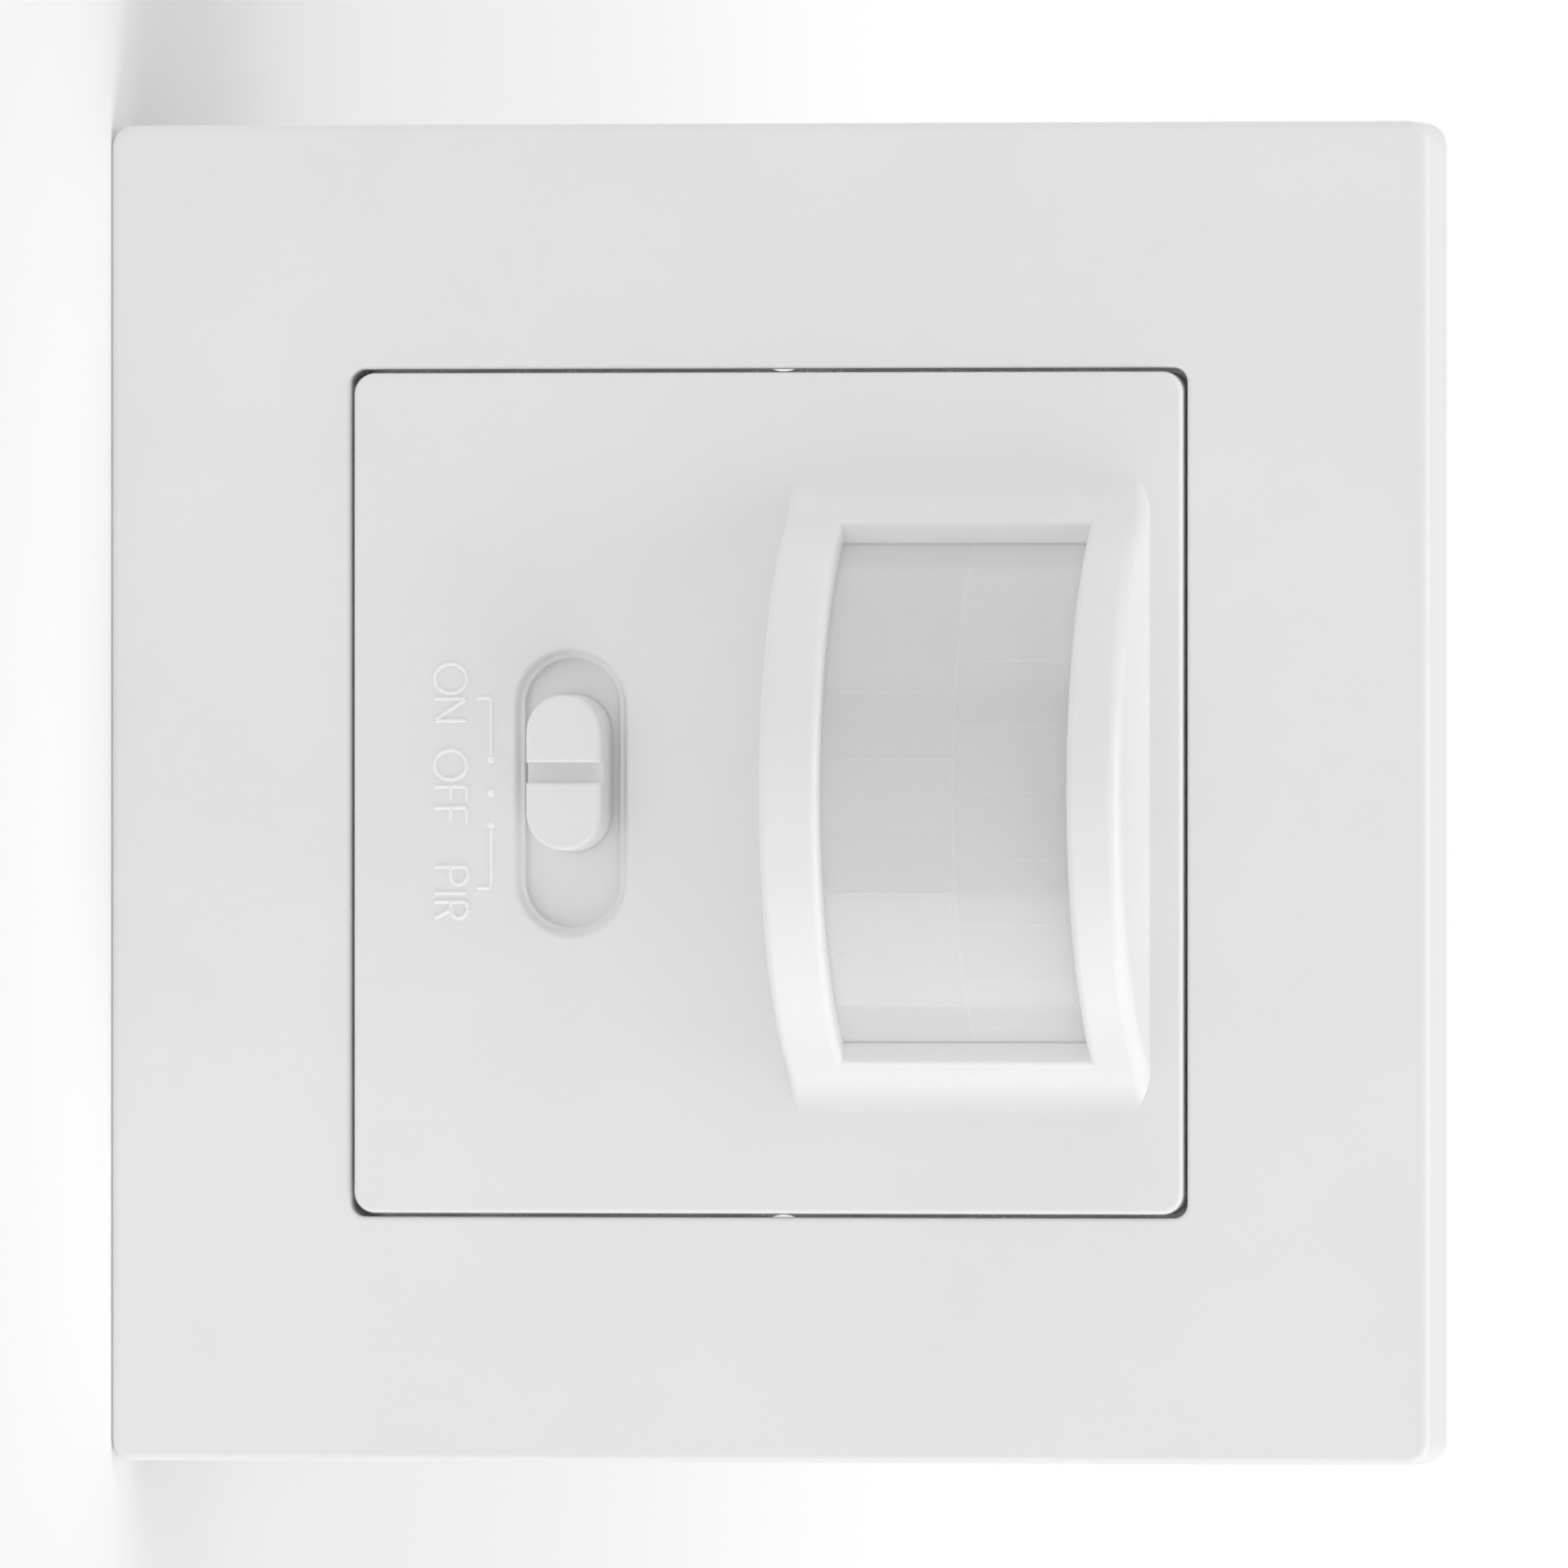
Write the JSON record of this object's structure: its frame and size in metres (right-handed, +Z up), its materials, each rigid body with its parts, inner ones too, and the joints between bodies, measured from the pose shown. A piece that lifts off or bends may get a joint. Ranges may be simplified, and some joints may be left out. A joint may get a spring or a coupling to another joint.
{
  "type": "motion sensor light switch",
  "caption": "Square wall switch with a curved motion sensor window in a hood, a three-position slide knob, a wall strap and a back box with screw terminals.",
  "frame": {"origin": "middle of the two wall screws, in the wall plane", "axes": "-Y out of the wall towards the viewer, +X right, +Z up with the lens above the knob"},
  "size_m": [0.086, 0.0493, 0.086],
  "materials": {
    "cover_plastic": "fine satin texture, white",
    "insert_plastic": "satin white, glossier on the hood",
    "knob_plastic": "satin white",
    "lens_plastic": "milky translucent sheet with fine rings",
    "inner_plastic": "natural white moulding",
    "housing_plastic": "satin white",
    "strap_steel": "zinc plated",
    "screw_steel": "zinc plated",
    "tinned_metal": "tinned",
    "can_metal": "nickel plated",
    "filter_glass": "dark coated window",
    "ceramic": "pale ceramic",
    "board_laminate": "green solder mask",
    "black_resin": "moulded resin",
    "phenolic": "brown laminate",
    "relay_plastic": "blue case",
    "copper_winding": "enamelled wire",
    "relay_iron": "plated iron",
    "film_resin": "yellow box",
    "capacitor_sleeve": "dark sleeve, bare end",
    "varistor_epoxy": "blue epoxy",
    "fuse_coat": "grey-green coat",
    "photocell_face": "pale ceramic with a track",
    "trimmer_blue": "blue body",
    "trimmer_white": "white rotor",
    "terminal_plastic": "dark grey block",
    "terminal_brass": "plain"
  },
  "bodies": {
    "root": {"mounting_strap": "strap_steel", "front_insert": "insert_plastic", "fresnel_lens": "lens_plastic", "lens_retainer": "inner_plastic", "slide_switch_frame": "tinned_metal", "slide_switch_base": "phenolic", "sensor_board": "board_laminate", "pir_header": "can_metal", "pir_can": "can_metal", "pir_filter": "filter_glass", "pir_element": "ceramic", "light_sensor": "photocell_face", "controller_chip": "black_resin", "sensor_capacitors": "capacitor_sleeve", "board_header": "black_resin", "board_spacers": "inner_plastic", "power_board": "board_laminate", "relay_case": "relay_plastic", "relay_base": "black_resin", "relay_yoke": "relay_iron", "relay_coil": "copper_winding", "relay_contact": "tinned_metal", "film_capacitor": "film_resin", "smoothing_capacitor": "capacitor_sleeve", "varistor": "varistor_epoxy", "fuse_resistor": "fuse_coat", "rectifier_diodes": "black_resin", "time_trimmer_body": "trimmer_blue", "lux_trimmer_body": "trimmer_blue", "terminal_block": "terminal_plastic", "terminal_cages": "terminal_brass", "terminal_screws": "screw_steel", "back_housing": "housing_plastic", "housing_screws": "screw_steel"},
    "frame_body": {"outer_frame": "cover_plastic"},
    "slider": {"slider_knob": "knob_plastic", "slide_switch_actuator": "black_resin", "slide_switch_contact": "tinned_metal"},
    "armature": {"relay_armature": "relay_iron"},
    "time_rotor": {"time_trimmer_rotor": "trimmer_white"},
    "lux_rotor": {"lux_trimmer_rotor": "trimmer_white"}
  },
  "joints": [
    {"name": "knob_slide", "type": "slide", "parent": "root", "child": "slider", "axis": [1, 0, 0], "range_m": [0, 0.004]},
    {"name": "frame_pull", "type": "slide", "parent": "root", "child": "frame_body", "axis": [0, -1, 0], "range_m": [0, 0.02]},
    {"name": "armature_tilt", "type": "hinge", "parent": "root", "child": "armature", "pos_m": [0.00025, 0.0244, 0.0036], "axis": [0, 0, 1], "range_deg": [0, 4.8], "stiffness_Nm_per_rad": 0.02},
    {"name": "time_turn", "type": "hinge", "parent": "root", "child": "time_rotor", "pos_m": [0.01737, 0.02, 0.006], "axis": [0, 1, 0], "range_deg": [-120, 120]},
    {"name": "lux_turn", "type": "hinge", "parent": "root", "child": "lux_rotor", "pos_m": [0.01737, 0.02, -0.003], "axis": [0, 1, 0], "range_deg": [-120, 120]}
  ]
}
